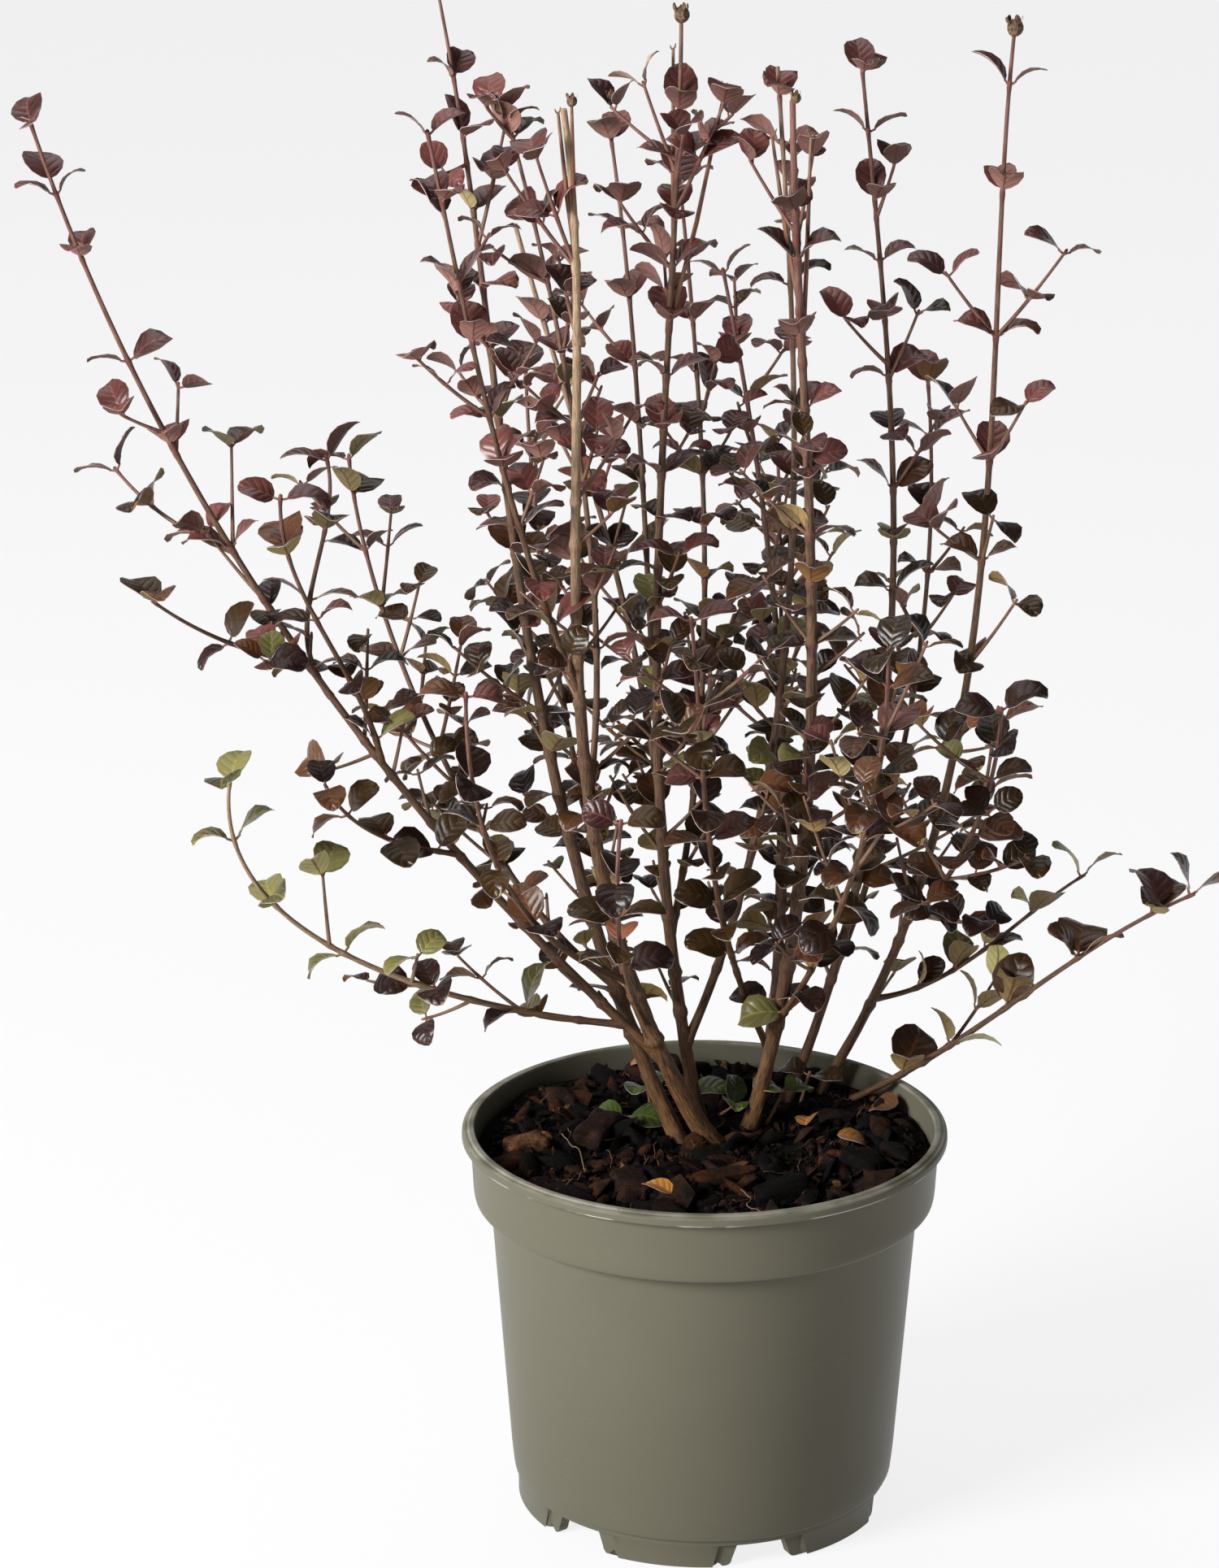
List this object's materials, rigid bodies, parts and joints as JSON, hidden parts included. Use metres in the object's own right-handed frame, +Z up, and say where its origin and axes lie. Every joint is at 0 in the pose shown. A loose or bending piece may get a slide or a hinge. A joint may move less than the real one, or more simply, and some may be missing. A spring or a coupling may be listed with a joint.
{
  "type": "potted new zealand myrtle shrub",
  "caption": "Upright evergreen shrub with small round wine-dark leaves on many slender stems, growing in a round plastic nursery pot filled with bark mulch.",
  "frame": {"origin": "middle of the base of the whole plant and pot, on the level surface that the pot stands on", "axes": "+Z up along the pot, -Y the side the picture was taken from, +X to its right"},
  "size_m": [0.462, 0.3466, 0.5929],
  "materials": {
    "pot_plastic": "grey-green moulded polypropylene, satin",
    "bark_soil": "moist bark chips and compost, nearly black with red-brown chips",
    "bark": "thin brown ridged bark, reddish on young shoots",
    "foliage": "leathery dark purple leaves with glossy upper faces and duller mauve-brown to olive undersides"
  },
  "bodies": {
    "root": {"pot": "pot_plastic", "soil": "bark_soil", "trunk": "bark", "stem_left_tall": "bark", "foliage_left_tall": "foliage", "stem_centre_tall": "bark", "foliage_centre_tall": "foliage", "stem_right_front": "bark", "foliage_right_front": "foliage", "stem_inner_back": "bark", "foliage_inner_back": "foliage", "stem_right_back": "bark", "foliage_right_back": "foliage", "stem_right_tall": "bark", "foliage_right_tall": "foliage", "stem_low_right": "bark", "foliage_low_right": "foliage", "bough_far_left": "bark", "foliage_far_left": "foliage", "bough_low_left": "bark", "foliage_low_left": "foliage", "bough_left_back": "bark", "foliage_left_back": "foliage", "bough_right_middle": "bark", "foliage_right_middle": "foliage", "bough_back_left_tall": "bark", "foliage_back_left_tall": "foliage", "bough_front_centre": "bark", "foliage_front_centre": "foliage", "foliage_back_centre": "foliage", "foliage_left_stub": "foliage", "foliage_left_front": "foliage", "foliage_left_middle": "foliage", "foliage_far_left_front": "foliage", "foliage_far_left_inner": "foliage", "foliage_far_left_outer": "foliage", "foliage_far_left_upper": "foliage", "foliage_far_left_lower": "foliage", "foliage_low_right_back": "foliage", "foliage_right_shoulder": "foliage", "foliage_front_right": "foliage", "foliage_front_left": "foliage", "foliage_front_low": "foliage", "foliage_back_left": "foliage", "foliage_back_right": "foliage", "foliage_back_low": "foliage"}
  },
  "joints": []
}
